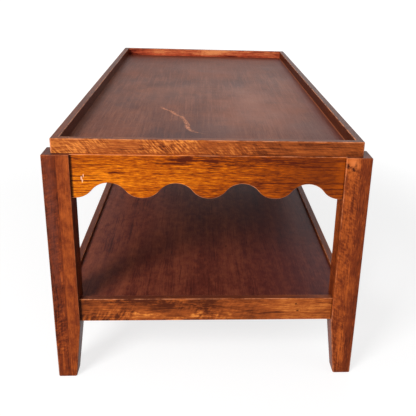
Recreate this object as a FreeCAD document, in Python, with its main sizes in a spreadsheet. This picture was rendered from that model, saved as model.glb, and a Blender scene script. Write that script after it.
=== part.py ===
import FreeCAD, Part
import math
import os
import re

import Sketcher

# Coffee table in stained hardwood: four tapered legs, scalloped aprons, a tray top and a lower shelf.
# X runs across the short side, Y along the length, Z up; the origin is on the floor under the middle.

# Driving sizes, in millimetres
SIZES = {
    # Whole table, measured over the legs
    "table_width": 610,
    "table_length": 1220,
    # Legs: square posts with the two inner faces tapered near the floor
    "leg_height": 480,
    "leg_width": 50,
    "foot_width": 37,
    "taper_height": 118,
    "leg_ease": 2,
    "foot_corner_radius": 4,
    "foot_ease": 2.5,
    # Aprons with a serpentine lower edge
    "apron_inset": 6,
    "apron_thickness": 22,
    "apron_height": 85,
    "apron_ease": 1.5,
    "wave_height": 30,
    "wave_end_flat": 6,
    "wave_drop_flat": 2,
    # Tenons and their mortises
    "apron_tenon_thickness": 8,
    "apron_tenon_height": 60,
    "shelf_tenon_thickness": 7,
    "shelf_tenon_height": 40,
    "tenon_length": 22,
    "tenon_gap": 0.1,
    "mortise_end_gap": 1,
    # Tray: mitred rails round a thin panel that lies in their rebate
    "tray_side_inset": 15.5,
    "tray_end_inset": 10.5,
    "tray_rail_width": 15,
    "tray_rail_height": 28,
    "tray_rail_ease": 2,
    "tray_foot_ease": 1,
    "tray_corner_radius": 4,
    "tray_panel_thickness": 5,
    "tray_rebate": 5,
    "panel_edge_gap": 0.5,
    # Splines across the tray's mitres
    "spline_thickness": 3,
    "spline_width": 12,
    "spline_height": 16,
    "spline_cover": 5,
    "spline_gap": 0.1,
    # Dowels between the aprons and the tray rails
    "dowel_diameter": 6,
    "dowel_rise": 12,
    "dowel_drop": 18,
    "dowel_gap": 0.1,
    "dowel_margin": 85,
    # Cross bearers under the tray panel, housed in the side aprons
    "bearer_width": 20,
    "bearer_height": 40,
    "housing_depth": 6,
    "bearer_gap": 0.1,
    # Corner braces screwed to the legs
    "brace_thickness": 20,
    "brace_height": 45,
    "brace_gap": 0.2,
    "screw_head_diameter": 8,
    "screw_head_height": 2.6,
    "screw_slot": 1.2,
    "screw_diameter": 4,
    "screw_length": 45,
    "screw_tip": 5,
    "screw_gap": 0.1,
    "screw_spread": 22,
    # Shelf: rails between the legs with a panel in their grooves
    "shelf_rail_level": 127,
    "shelf_rail_height": 50,
    "shelf_rail_thickness": 15,
    "shelf_rail_inset": 9,
    "shelf_rail_ease": 1.5,
    "shelf_panel_drop": 7.5,
    "shelf_panel_thickness": 12,
    "groove_depth": 6,
    # Length by which a cut passes the face it opens
    "overrun": 10,
}

# Numbers of arches in an apron's foot and of dowels in its top
COUNTS = {"end_waves": 4, "side_waves": 9, "end_dowels": 2, "side_dowels": 4}
CELLS = {**SIZES, **COUNTS}

# Lengths that follow from the sizes
END_SPAN = "(table_width - 2 * leg_width)"
SIDE_SPAN = "(table_length - 2 * leg_width)"
TRAY_WIDTH = "(table_width - 2 * tray_side_inset)"
TRAY_LENGTH = "(table_length - 2 * tray_end_inset)"
TRAY_LIP = "(tray_rail_width - tray_rebate)"
APRON_FOOT = "(leg_height - apron_height)"
APRON_CENTRE = "(apron_inset + apron_thickness / 2)"
SHELF_CENTRE = "(shelf_rail_inset + shelf_rail_thickness / 2)"
SHELF_TOP = "(shelf_rail_level + shelf_rail_height - shelf_panel_drop)"
BRACE_FACE = "(leg_width + brace_gap / sqrt(2))"
BRACE_BACK = f"({BRACE_FACE} + brace_thickness / sqrt(2))"

# Turns about Z, in degrees, that carry a front piece to each side and a front left piece to each corner
SIDE_DEGREES = {"front": 0, "right": 90, "rear": 180, "left": 270}
CORNER_DEGREES = {"front_left": 0, "front_right": 90, "rear_right": 180, "rear_left": 270}
# Signs of each corner's place along X and Y, and of each bearer's along Y
CORNER_SIGNS = {"front_left": (-1, -1), "front_right": (1, -1), "rear_right": (1, 1), "rear_left": (-1, 1)}
BEARER_SIGNS = {"front": -1, "middle": 0, "rear": 1}
MITRE_DEGREES = 45
DIAGONAL_DEGREES = 135

UP = FreeCAD.Vector(0, 0, 1)
# Tolerance for telling whether two places are the same
TOUCH = 1e-4
# Share of an edge's direction above which it counts as running along an axis, and not across a mitre
ALONG = 0.8

doc = FreeCAD.newDocument("coffee_table")
sheet = doc.addObject("Spreadsheet::Sheet", "sizes")
for row, (name, number) in enumerate(CELLS.items(), start=1):
    sheet.set(f"A{row}", name)
    sheet.set(f"B{row}", str(number))
    sheet.setAlias(f"B{row}", name)
doc.recompute()


# Expressions on the sheet
def cells(expression):
    """Writes an expression with each size pointing at its cell."""
    return re.sub("[a-z][a-z_]*", lambda word: "sizes." + word[0] if word[0] in CELLS else word[0], expression)


def value(expression):
    """Gives the present value of an expression of sizes."""
    return float(sheet.evalExpression(cells(expression)))


def bind(item, field, expression):
    """Ties one field of an object to an expression of sizes."""
    item.setExpression(field, cells(expression))


# Sketches and features
def new_body(name):
    body = doc.addObject("PartDesign::Body", name)
    body.Label = name
    return body


def new_sketch(body, plane, name, level="0"):
    """Attaches a sketch to one of the body's origin planes, moved to a level along the axis it faces."""
    sketch = body.newObject("Sketcher::SketchObject", name)
    support = next(item for item in body.Origin.OriginFeatures if item.Role == plane)
    sketch.AttachmentSupport = [(support, "")]
    sketch.MapMode = "FlatFace"
    bind(sketch, "AttachmentOffset.Base.z", f"-({level})" if plane == "XZ_Plane" else level)
    return sketch


def hold_point(sketch, edge, end, x, y):
    """Holds one end of a sketch edge at its distances from the sketch's origin."""
    for kind, expression in (("DistanceX", x), ("DistanceY", y)):
        label = f"{kind}{edge}_{end}"
        index = sketch.addConstraint(Sketcher.Constraint(kind, -1, 1, edge, end, value(expression)))
        sketch.renameConstraint(index, label)
        bind(sketch, f"Constraints.{label}", expression)


def arc_middle(start, finish, radius, side):
    """Finds the middle of an arc between two points, which bulges to the left of travel for side 1."""
    chord = finish - start
    rise = radius - math.sqrt(radius**2 - (chord.Length / 2) ** 2)
    outward = FreeCAD.Vector(-chord.y, chord.x, 0).normalize() * side
    return (start + finish) / 2 + outward * rise


def add_outline(sketch, points):
    """Closes an outline through points of x, y and, where an arc leaves the point, its radius and side."""
    spots = [FreeCAD.Vector(value(point[0]), value(point[1]), 0) for point in points]
    ends = []
    for index, point in enumerate(points):
        start, finish = spots[index], spots[(index + 1) % len(spots)]
        if len(point) == 2:
            edge = sketch.addGeometry(Part.LineSegment(start, finish), False)
        else:
            middle = arc_middle(start, finish, value(point[2]), point[3])
            edge = sketch.addGeometry(Part.Arc(start, middle, finish), False)
            radius = sketch.addConstraint(Sketcher.Constraint("Radius", edge, value(point[2])))
            sketch.renameConstraint(radius, f"Radius{edge}")
            bind(sketch, f"Constraints.Radius{edge}", point[2])
        first, last = sorted((1, 2), key=lambda end: (sketch.getPoint(edge, end) - start).Length)
        ends.append((edge, first, last))
    for index, (edge, first, last) in enumerate(ends):
        after, after_first, _ = ends[(index + 1) % len(ends)]
        sketch.addConstraint(Sketcher.Constraint("Coincident", edge, last, after, after_first))
        hold_point(sketch, edge, first, *points[index][:2])


def add_rectangle(sketch, left, right, low, high):
    add_outline(sketch, [(left, low), (right, low), (right, high), (left, high)])


def add_circle(sketch, x, y, radius):
    edge = sketch.addGeometry(Part.Circle(FreeCAD.Vector(value(x), value(y), 0), UP, value(radius)), False)
    hold_point(sketch, edge, 3, x, y)
    index = sketch.addConstraint(Sketcher.Constraint("Radius", edge, value(radius)))
    sketch.renameConstraint(index, f"Radius{edge}")
    bind(sketch, f"Constraints.Radius{edge}", radius)


def normal_sign(sketch):
    """A sketch on the XZ plane faces down its axis and the others face up theirs."""
    return -1 if sketch.AttachmentSupport[0][0].Role == "XZ_Plane" else 1


def pad(body, sketch, name, length, towards=1):
    """Adds the sketch's outline as a solid, towards the plus or minus end of the axis it faces."""
    feature = body.newObject("PartDesign::Pad", name)
    feature.Profile = sketch
    feature.Reversed = towards * normal_sign(sketch) < 0
    bind(feature, "Length", length)
    doc.recompute()
    return feature


def pocket(body, sketch, name, length, towards=-1):
    """Cuts the sketch's outline away and makes sure that the body got smaller."""
    before = body.Shape.Volume
    feature = body.newObject("PartDesign::Pocket", name)
    feature.Profile = sketch
    feature.Reversed = towards * normal_sign(sketch) > 0
    bind(feature, "Length", length)
    doc.recompute()
    if body.Shape.Volume >= before:
        raise ValueError(f"{name} cuts nothing from {body.Label}")
    return feature


def repeat(body, feature, name, run, count):
    """Repeats a feature along its sketch's horizontal axis over a run, ends included."""
    pattern = body.newObject("PartDesign::LinearPattern", name)
    pattern.Originals = [feature]
    pattern.Direction = (feature.Profile[0], ["H_Axis"])
    bind(pattern, "Length", run)
    bind(pattern, "Occurrences", count)
    body.Tip = pattern
    doc.recompute()
    return pattern


def mirror(body, feature, name):
    """Mirrors a feature about its sketch's vertical axis."""
    copy = body.newObject("PartDesign::Mirrored", name)
    copy.Originals = [feature]
    copy.MirrorPlane = (feature.Profile[0], ["V_Axis"])
    body.Tip = copy
    doc.recompute()
    return copy


def ease(body, name, radius, chosen):
    """Rounds the edges of the body's last feature that a test chooses."""
    base = body.Tip
    edges = [f"Edge{index}" for index, edge in enumerate(base.Shape.Edges, start=1) if chosen(edge)]
    feature = body.newObject("PartDesign::Fillet", name)
    feature.Base = (base, edges)
    bind(feature, "Radius", radius)
    doc.recompute()
    return feature


# Places of edges and pieces
def middle_of(edge):
    return edge.valueAt((edge.FirstParameter + edge.LastParameter) / 2)


def direction_of(edge):
    return edge.tangentAt((edge.FirstParameter + edge.LastParameter) / 2)


def at(number, expression):
    """Tells whether a coordinate lies at the place that an expression gives."""
    return abs(number - value(expression)) < TOUCH


def place_on_side(piece, side, end_inset, side_inset):
    """Turns a piece made for the front to its side, set in from the outer faces of the legs."""
    piece.Placement = FreeCAD.Placement(FreeCAD.Vector(), FreeCAD.Rotation(UP, SIDE_DEGREES[side]))
    if side in ("front", "rear"):
        sign = -1 if side == "front" else 1
        bind(piece, "Placement.Base.y", f"{sign} * (table_length / 2 - {end_inset})")
    else:
        sign = -1 if side == "left" else 1
        bind(piece, "Placement.Base.x", f"{sign} * (table_width / 2 - {side_inset})")


def place_in_corner(piece, corner):
    """Puts a corner piece's origin at the outer corner of the leg, with its plus axes pointing inwards."""
    across, along = CORNER_SIGNS[corner]
    piece.Placement = FreeCAD.Placement(FreeCAD.Vector(), FreeCAD.Rotation(UP, CORNER_DEGREES[corner]))
    bind(piece, "Placement.Base.x", f"{across} * table_width / 2")
    bind(piece, "Placement.Base.y", f"{along} * table_length / 2")


def diagonal_sketch(body, name, reach, level):
    """Stands a sketch square to the corner's diagonal, reach along each axis from the outer corner."""
    sketch = new_sketch(body, "XZ_Plane", name, reach)
    turn = FreeCAD.Rotation(FreeCAD.Vector(0, 1, 0), DIAGONAL_DEGREES)
    sketch.AttachmentOffset = FreeCAD.Placement(sketch.AttachmentOffset.Base, turn)
    bind(sketch, "AttachmentOffset.Base.x", reach)
    bind(sketch, "AttachmentOffset.Base.y", level)
    return sketch


def drill_diagonal(body, name, reach, radius, depth):
    """Drills the two screw holes of a corner along its diagonal towards the leg."""
    before = body.Shape.Volume
    sketch = diagonal_sketch(body, f"{name}_circles", reach, "leg_height - brace_height / 2")
    for sign in ("-", ""):
        add_circle(sketch, "0", f"{sign}screw_spread / 2", radius)
    feature = body.newObject("PartDesign::Pocket", name)
    feature.Profile = sketch
    bind(feature, "Length", depth)
    doc.recompute()
    if body.Shape.Volume >= before:
        raise ValueError(f"{name} cuts nothing from {body.Label}")


# Legs
def cut_mortises(body, plane):
    """Cuts the apron's and the shelf rail's mortises into one inner face of a leg."""
    sketch = new_sketch(body, plane, f"mortises_{plane[:2]}", "leg_width")
    bottom = "leg_height - (apron_height + apron_tenon_height) / 2"
    shelf = "shelf_rail_level + (shelf_rail_height - shelf_tenon_height) / 2"
    for centre, thick, low, tall in (
        (APRON_CENTRE, "apron_tenon_thickness", bottom, "apron_tenon_height"),
        (SHELF_CENTRE, "shelf_tenon_thickness", shelf, "shelf_tenon_height"),
    ):
        half = f"({thick} / 2 + tenon_gap)"
        foot = f"{low} - tenon_gap"
        head = f"{low} + {tall} + tenon_gap"
        add_rectangle(sketch, f"{centre} - {half}", f"{centre} + {half}", foot, head)
    pocket(body, sketch, f"mortise_cuts_{plane[:2]}", "tenon_length + mortise_end_gap")


def leg_section(body, name, width, radius, level):
    """Draws a square section with rounded corners, its outer faces on the leg's outer faces."""
    sketch = new_sketch(body, "XY_Plane", name, level)
    near = f"({width} - {radius})"
    points = []
    for flat, corner in (
        ((near, "0"), (width, radius)),
        ((width, near), (near, width)),
        ((radius, width), ("0", near)),
        (("0", radius), (radius, "0")),
    ):
        points += [(*flat, radius, -1), corner]
    add_outline(sketch, points)
    return sketch


def make_leg(corner):
    """Makes a square leg whose inner faces taper below the shelf, with its mortises and screw holes."""
    body = new_body(f"leg_{corner}")
    post = leg_section(body, "post_section", "leg_width", "leg_ease", "taper_height")
    foot = leg_section(body, "foot_section", "foot_width", "foot_corner_radius", "0")
    pad(body, post, "post", "(leg_height - taper_height)")
    taper = body.newObject("PartDesign::AdditiveLoft", "tapered_foot")
    taper.Profile = foot
    taper.Sections = [post]
    taper.Ruled = True
    doc.recompute()
    ease(body, "eased_top", "leg_ease", lambda edge: at(middle_of(edge).z, "leg_height"))
    ease(body, "eased_foot", "foot_ease", lambda edge: at(middle_of(edge).z, "0"))
    cut_mortises(body, "YZ_Plane")
    cut_mortises(body, "XZ_Plane")
    depth = "(screw_length + screw_gap + sqrt(2) * overrun)"
    reach = f"({BRACE_BACK} + overrun)"
    drill_diagonal(body, "pilot_holes", reach, "screw_diameter / 2 + screw_gap", depth)
    place_in_corner(body, corner)
    return body


# Rails that run between two legs
def add_tenons(body, span, thickness, tenon, low, tall):
    """Adds a tenon to each end of a rail, from its shoulder outwards."""
    sketch = new_sketch(body, "XZ_Plane", "tenon_face", f"({thickness} - {tenon}) / 2")
    shoulder = f"{span} / 2"
    tip = f"({shoulder} + tenon_length)"
    add_rectangle(sketch, f"-{tip}", f"-{shoulder}", low, f"{low} + {tall}")
    add_rectangle(sketch, shoulder, tip, low, f"{low} + {tall}")
    pad(body, sketch, "tenons", tenon)


def cut_wave(body, span, count):
    """Cuts the serpentine lower edge: each arch is three tangent arcs between two drops."""
    pitch = f"(({span} - 2 * wave_end_flat + wave_drop_flat) / {count})"
    quarter = f"(({pitch} - wave_drop_flat) / 4)"
    bend = f"(({quarter}^2 + (wave_height / 2)^2) / wave_height)"
    start = f"(wave_end_flat - {span} / 2)"
    inflection = f"({APRON_FOOT} + wave_height / 2)"
    below = f"({APRON_FOOT} - overrun)"
    sketch = new_sketch(body, "XZ_Plane", "arch", "-overrun")
    add_outline(
        sketch,
        [
            (start, APRON_FOOT, bend, -1),
            (f"{start} + {quarter}", inflection, bend, 1),
            (f"{start} + 3 * {quarter}", inflection, bend, -1),
            (f"{start} + 4 * {quarter}", APRON_FOOT),
            (f"{start} + 4 * {quarter}", below),
            (start, below),
        ],
    )
    first = pocket(body, sketch, "first_arch", "apron_thickness + 2 * overrun", towards=1)
    repeat(body, first, "arches", f"{pitch} * ({count} - 1)", count)


def drill_row(body, name, span, count, inset, depth, towards):
    """Drills a row of dowel holes from the level where the tray meets the aprons."""
    sketch = new_sketch(body, "XY_Plane", f"{name}_circle", "leg_height")
    add_circle(sketch, f"dowel_margin - {span} / 2", inset, "dowel_diameter / 2 + dowel_gap")
    first = pocket(body, sketch, f"first_{name}", depth, towards)
    repeat(body, first, name, f"{span} - 2 * dowel_margin", count)


def make_apron(side):
    """Makes an apron with tenons, a scalloped foot, dowel holes and, on the long sides, bearer housings."""
    is_end = side in ("front", "rear")
    span = END_SPAN if is_end else SIDE_SPAN
    waves = "end_waves" if is_end else "side_waves"
    dowels = "end_dowels" if is_end else "side_dowels"
    tray_inset = "tray_end_inset" if is_end else "tray_side_inset"
    body = new_body(f"apron_{side}")
    face = new_sketch(body, "XZ_Plane", "board_face")
    add_rectangle(face, f"-{span} / 2", f"{span} / 2", APRON_FOOT, "leg_height")
    pad(body, face, "board", "apron_thickness")
    cut_wave(body, span, waves)
    crest = value(f"{APRON_FOOT} + wave_height") + TOUCH
    end = value(f"{span} / 2") - TOUCH

    def shows(edge):
        """An edge of the outer face along the foot or the top, or of the inner face along the foot."""
        point = middle_of(edge)
        if abs(direction_of(edge).y) > ALONG or abs(point.x) > end:
            return False
        return point.z < crest or (at(point.y, "0") and at(point.z, "leg_height"))

    ease(body, "eased_edges", "apron_ease", shows)
    low = "leg_height - (apron_height + apron_tenon_height) / 2"
    add_tenons(body, span, "apron_thickness", "apron_tenon_thickness", low, "apron_tenon_height")
    inset = f"{tray_inset} - apron_inset + {TRAY_LIP} / 2"
    drill_row(body, "dowel_holes", span, dowels, inset, "dowel_drop + dowel_gap", -1)
    if not is_end:
        cut_housings(body)
    place_on_side(body, side, "apron_inset", "apron_inset")
    return body


def cut_housings(body):
    """Cuts a housing in the inner face of a side apron for each bearer."""
    gaps = len(BEARER_SIGNS) + 1
    centre = f"({SIDE_SPAN} / {gaps} - {SIDE_SPAN} / 2)"
    half = "(bearer_width / 2 + bearer_gap)"
    sketch = new_sketch(body, "XZ_Plane", "housing_face", "apron_thickness")
    foot = "leg_height - bearer_height - bearer_gap"
    add_rectangle(sketch, f"{centre} - {half}", f"{centre} + {half}", foot, "leg_height + overrun")
    first = pocket(body, sketch, "first_housing", "housing_depth")
    repeat(body, first, "housings", f"{SIDE_SPAN} / {gaps} * {gaps - 2}", str(gaps - 1))


def make_shelf_rail(side):
    """Makes a shelf rail with tenons and the groove that holds the shelf panel."""
    span = END_SPAN if side in ("front", "rear") else SIDE_SPAN
    body = new_body(f"shelf_rail_{side}")
    face = new_sketch(body, "XZ_Plane", "rail_face")
    half = f"{span} / 2"
    add_rectangle(face, f"-{half}", half, "shelf_rail_level", "shelf_rail_level + shelf_rail_height")
    pad(body, face, "rail", "shelf_rail_thickness")
    ease(body, "eased_edges", "shelf_rail_ease", lambda edge: abs(direction_of(edge).x) > ALONG)
    low = "shelf_rail_level + (shelf_rail_height - shelf_tenon_height) / 2"
    add_tenons(body, span, "shelf_rail_thickness", "shelf_tenon_thickness", low, "shelf_tenon_height")
    groove = new_sketch(body, "XZ_Plane", "groove_face", "shelf_rail_thickness")
    add_rectangle(groove, f"-{half}", half, f"{SHELF_TOP} - shelf_panel_thickness", SHELF_TOP)
    pocket(body, groove, "groove", "groove_depth")
    place_on_side(body, side, "shelf_rail_inset", "shelf_rail_inset")
    return body


# Shelf panel
def make_shelf_panel():
    """Makes the shelf board, notched round the legs, with its edges in the rails' grooves."""
    groove_foot = "(shelf_rail_inset + shelf_rail_thickness - groove_depth + panel_edge_gap)"
    wide = f"(table_width / 2 - {groove_foot})"
    far = f"(table_length / 2 - {groove_foot})"
    notch_x = "(table_width / 2 - leg_width - panel_edge_gap)"
    notch_y = "(table_length / 2 - leg_width - panel_edge_gap)"
    body = new_body("shelf_panel")
    plan = new_sketch(body, "XY_Plane", "panel_plan", f"{SHELF_TOP} - shelf_panel_thickness")
    corner = [(wide, notch_y), (notch_x, notch_y), (notch_x, far)]
    points = []
    for sign_x, sign_y in ((1, 1), (-1, 1), (-1, -1), (1, -1)):
        turned = corner if sign_x == sign_y else corner[::-1]
        points += [(f"{sign_x} * {x}", f"{sign_y} * {y}") for x, y in turned]
    add_outline(plan, points)
    pad(body, plan, "panel", "shelf_panel_thickness")
    return body


# Tray
def make_tray_rail(side):
    """Makes a tray rail: mitred ends, rounded outer corners, a rebate for the panel and a slot per spline."""
    is_end = side in ("front", "rear")
    length = TRAY_WIDTH if is_end else TRAY_LENGTH
    half = f"{length} / 2"
    body = new_body(f"tray_rail_{side}")
    plan = new_sketch(body, "XY_Plane", "rail_plan", "leg_height")
    corner_in = "tray_corner_radius * (1 - 1 / sqrt(2))"
    add_outline(
        plan,
        [
            (f"{half} - tray_corner_radius", "0", "tray_corner_radius", -1),
            (f"{half} - {corner_in}", corner_in),
            (f"{half} - tray_rail_width", "tray_rail_width"),
            (f"tray_rail_width - {half}", "tray_rail_width"),
            (f"{corner_in} - {half}", corner_in, "tray_corner_radius", -1),
            (f"tray_corner_radius - {half}", "0"),
        ],
    )
    pad(body, plan, "rail", "tray_rail_height")
    rebate = new_sketch(body, "YZ_Plane", "rebate_section", f"-{length}")
    rebate_top = "leg_height + tray_panel_thickness"
    add_rectangle(rebate, TRAY_LIP, "tray_rail_width + overrun", "leg_height - overrun", rebate_top)
    pocket(body, rebate, "rebate", f"2 * {length}", towards=1)
    lip = value(f"{TRAY_LIP} / 2")

    def along_rail(edge):
        """Straight edges along the rail and the arcs at its ends, but not the mitres' own edges."""
        return abs(direction_of(edge).x) > ALONG or isinstance(edge.Curve, Part.Circle)

    def along_top(edge):
        return along_rail(edge) and at(middle_of(edge).z, "leg_height + tray_rail_height")

    def along_outer_foot(edge):
        point = middle_of(edge)
        return along_rail(edge) and at(point.z, "leg_height") and point.y < lip

    ease(body, "eased_top", "tray_rail_ease", along_top)
    ease(body, "eased_foot", "tray_foot_ease", along_outer_foot)
    cut_spline_slots(body, half)
    span = END_SPAN if is_end else SIDE_SPAN
    dowels = "end_dowels" if is_end else "side_dowels"
    drill_row(body, "dowel_holes", span, dowels, f"{TRAY_LIP} / 2", "dowel_rise + dowel_gap", 1)
    place_on_side(body, side, "tray_end_inset", "tray_side_inset")
    return body


def spline_corners(centre_x, centre_y, half_long, half_thick):
    """Gives the corners of a rectangle whose long side lies square to the mitre."""
    steps = ((1, 1), (1, -1), (-1, -1), (-1, 1))
    return [
        (
            f"{centre_x} + ({a} * {half_long} + {b} * {half_thick}) / sqrt(2)",
            f"{centre_y} + ({a} * {half_long} - {b} * {half_thick}) / sqrt(2)",
        )
        for a, b in steps
    ]


def cut_spline_slots(body, half):
    """Cuts the blind slot for a spline into each mitre of a tray rail."""
    level = "leg_height + tray_rail_height - spline_cover + spline_gap"
    sketch = new_sketch(body, "XY_Plane", "spline_slot", level)
    reach = "(spline_width / 2 + spline_gap)"
    thick = "(spline_thickness / 2 + spline_gap)"
    add_outline(sketch, spline_corners(f"{half} - tray_rail_width / 2", "tray_rail_width / 2", reach, thick))
    slot = pocket(body, sketch, "slot", "spline_height + 2 * spline_gap")
    mirror(body, slot, "other_slot")


def make_tray_panel():
    """Makes the thin tray floor, which lies on the legs, aprons and bearers inside the rails' rebate."""
    wide = f"({TRAY_WIDTH} / 2 - {TRAY_LIP} - panel_edge_gap)"
    far = f"({TRAY_LENGTH} / 2 - {TRAY_LIP} - panel_edge_gap)"
    body = new_body("tray_panel")
    plan = new_sketch(body, "XY_Plane", "panel_plan", "leg_height")
    add_rectangle(plan, f"-{wide}", wide, f"-{far}", far)
    pad(body, plan, "panel", "tray_panel_thickness")
    return body


# Bearers and braces under the tray
def make_bearer(name, sign):
    """Makes a cross bearer whose ends sit in the housings of the side aprons."""
    half = "(table_width / 2 - apron_inset - apron_thickness + housing_depth - bearer_gap)"
    body = new_body(f"tray_bearer_{name}")
    plan = new_sketch(body, "XY_Plane", "bearer_plan", "leg_height - bearer_height")
    add_rectangle(plan, f"-{half}", half, "-bearer_width / 2", "bearer_width / 2")
    pad(body, plan, "bearer", "bearer_height")
    bind(body, "Placement.Base.y", f"{sign} * {SIDE_SPAN} / {len(BEARER_SIGNS) + 1}")
    return body


def make_brace(corner):
    """Makes a diagonal corner brace, mitred against both aprons and bored for two screws."""
    apron_face = "(apron_inset + apron_thickness)"
    outer = f"(2 * {BRACE_FACE} - {apron_face})"
    inner = f"(2 * {BRACE_BACK} - {apron_face})"
    body = new_body(f"corner_brace_{corner}")
    plan = new_sketch(body, "XY_Plane", "brace_plan", "leg_height - brace_height")
    add_outline(plan, [(outer, apron_face), (inner, apron_face), (apron_face, inner), (apron_face, outer)])
    pad(body, plan, "brace", "brace_height")
    depth = "(screw_head_height + screw_gap)"
    drill_diagonal(body, "head_seats", BRACE_BACK, "screw_head_diameter / 2 + screw_gap", depth)
    reach = f"({BRACE_BACK} + overrun)"
    depth = "(brace_thickness + 2 * sqrt(2) * overrun)"
    drill_diagonal(body, "screw_holes", reach, "screw_diameter / 2 + screw_gap", depth)
    place_in_corner(body, corner)
    return body


# Groups of small identical pieces
def group(name, master, places):
    """Gathers linked copies of a master piece, each at its own place, as one node of separate solids."""
    copies = []
    for index, (x, y, z, turn) in enumerate(places):
        copy = doc.addObject("App::Link", f"{name}_{index}")
        copy.LinkedObject = master
        copy.Placement = FreeCAD.Placement(FreeCAD.Vector(), turn)
        bind(copy, "Placement.Base.x", x)
        bind(copy, "Placement.Base.y", y)
        bind(copy, "Placement.Base.z", z)
        copies.append(copy)
    compound = doc.addObject("Part::Compound", name)
    compound.Label = name
    compound.Links = copies
    doc.recompute()
    return compound


def make_dowels():
    """Makes the dowels in rows along the four sides, each half in an apron and half in a tray rail."""
    dowel = doc.addObject("Part::Cylinder", "dowel")
    bind(dowel, "Radius", "dowel_diameter / 2")
    bind(dowel, "Height", "dowel_rise + dowel_drop")
    upright = FreeCAD.Rotation()
    places = []
    for span, count, inset, half, across in (
        (END_SPAN, "end_dowels", "tray_end_inset", "table_length / 2", True),
        (SIDE_SPAN, "side_dowels", "tray_side_inset", "table_width / 2", False),
    ):
        total = round(value(count))
        for index in range(total):
            along = f"dowel_margin - {span} / 2 + {index} * ({span} - 2 * dowel_margin) / {total - 1}"
            for sign in (-1, 1):
                out = f"{sign} * ({half} - {inset} - {TRAY_LIP} / 2)"
                spot = (along, out) if across else (out, along)
                places.append((*spot, "leg_height - dowel_drop", upright))
    return group("tray_dowels", dowel, places)


def make_splines():
    """Makes the four splines that cross the tray's mitres."""
    body = new_body("spline")
    plan = new_sketch(body, "XY_Plane", "spline_plan")
    half = "spline_width / 2"
    thick = "spline_thickness / 2"
    add_rectangle(plan, f"-{half}", half, f"-{thick}", thick)
    pad(body, plan, "plate", "spline_height")
    level = "leg_height + tray_rail_height - spline_cover - spline_height"
    places = []
    for across, along in CORNER_SIGNS.values():
        x = f"{across} * ({TRAY_WIDTH} / 2 - tray_rail_width / 2)"
        y = f"{along} * ({TRAY_LENGTH} / 2 - tray_rail_width / 2)"
        places.append((x, y, level, FreeCAD.Rotation(UP, -across * along * MITRE_DEGREES)))
    return group("tray_corner_splines", body, places)


def make_screws():
    """Makes the brace screws: a low domed head with a slot, a shank and a point."""
    body = new_body("screw")
    section = new_sketch(body, "XZ_Plane", "screw_section")
    head = "screw_head_diameter / 2"
    shank = "screw_diameter / 2"
    dome = f"((({head})^2 + screw_head_height^2) / (2 * screw_head_height))"
    add_outline(
        section,
        [
            ("0", "screw_head_height"),
            ("0", "-(screw_length - screw_head_height)"),
            (shank, "-(screw_length - screw_head_height - screw_tip)"),
            (shank, "0"),
            (head, "0", dome, -1),
        ],
    )
    turned = body.newObject("PartDesign::Revolution", "turned_screw")
    turned.Profile = section
    turned.ReferenceAxis = (section, ["V_Axis"])
    doc.recompute()
    slot = new_sketch(body, "YZ_Plane", "slot_section", f"-{head}")
    half = "screw_slot / 2"
    add_rectangle(slot, f"-{half}", half, "screw_head_height - screw_slot", "screw_head_height + screw_slot")
    pocket(body, slot, "slot", "screw_head_diameter", towards=1)
    reach = f"({BRACE_BACK} - screw_head_height / sqrt(2))"
    places = []
    for across, along in CORNER_SIGNS.values():
        inward = FreeCAD.Vector(-across, -along, 0)
        turn = FreeCAD.Rotation(UP, inward)
        for sign in ("-", "+"):
            x = f"{across} * (table_width / 2 - {reach})"
            y = f"{along} * (table_length / 2 - {reach})"
            places.append((x, y, f"leg_height - brace_height / 2 {sign} screw_spread / 2", turn))
    return group("corner_brace_screws", body, places)


# Check, the order of the pieces and their export
def check(nodes):
    """Stops if anything in the document failed or a sub-part isn't a valid shape."""
    for item in doc.Objects:
        if any(state in ("Invalid", "Error") for state in item.State):
            raise ValueError(f"{item.Label} failed: {item.State}")
    for node in nodes:
        if node.Shape.isNull() or not node.Shape.isValid() or not node.Shape.Solids:
            raise ValueError(f"{node.Label} is not a valid solid")


nodes = [make_leg(corner) for corner in CORNER_SIGNS]
nodes += [make_apron(side) for side in SIDE_DEGREES]
nodes += [make_tray_rail(side) for side in SIDE_DEGREES]
nodes += [make_tray_panel(), make_splines(), make_dowels()]
nodes += [make_bearer(name, sign) for name, sign in BEARER_SIGNS.items()]
nodes += [make_brace(corner) for corner in CORNER_SIGNS]
nodes += [make_screws()]
nodes += [make_shelf_rail(side) for side in SIDE_DEGREES]
nodes += [make_shelf_panel()]

doc.recompute()
check(nodes)
os.makedirs("parts", exist_ok=True)
for node in nodes:
    node.Shape.exportStep(f"parts/{node.Label}.step")
    box = node.Shape.BoundBox
    size = f"{box.XLength:.1f} x {box.YLength:.1f} x {box.ZLength:.1f} mm"
    print(f"{node.Label}: {len(node.Shape.Solids)} solids, {size}")
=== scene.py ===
import math

import bpy
from mathutils import Matrix, Vector


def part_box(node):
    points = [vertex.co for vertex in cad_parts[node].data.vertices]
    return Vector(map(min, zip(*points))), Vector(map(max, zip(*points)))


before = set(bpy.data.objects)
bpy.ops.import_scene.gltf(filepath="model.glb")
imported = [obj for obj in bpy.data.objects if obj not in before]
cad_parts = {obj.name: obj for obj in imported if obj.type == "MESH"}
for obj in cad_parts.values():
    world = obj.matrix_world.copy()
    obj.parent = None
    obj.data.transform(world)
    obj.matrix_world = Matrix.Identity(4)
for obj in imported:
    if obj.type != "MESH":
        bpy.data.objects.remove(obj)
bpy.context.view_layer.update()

# Axes, the two ends of a box, and the ways in which a face may look
X, Y, Z = range(3)
LOW, HIGH = range(2)
TO_LEFT = (-1, 0, 0)
TO_RIGHT = (1, 0, 0)
TO_FRONT = (0, -1, 0)
TO_BACK = (0, 1, 0)


def reach(node, end, axis):
    """Gives how far a CAD node reaches at the low or high end of an axis."""
    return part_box(node)[end][axis]


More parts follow.
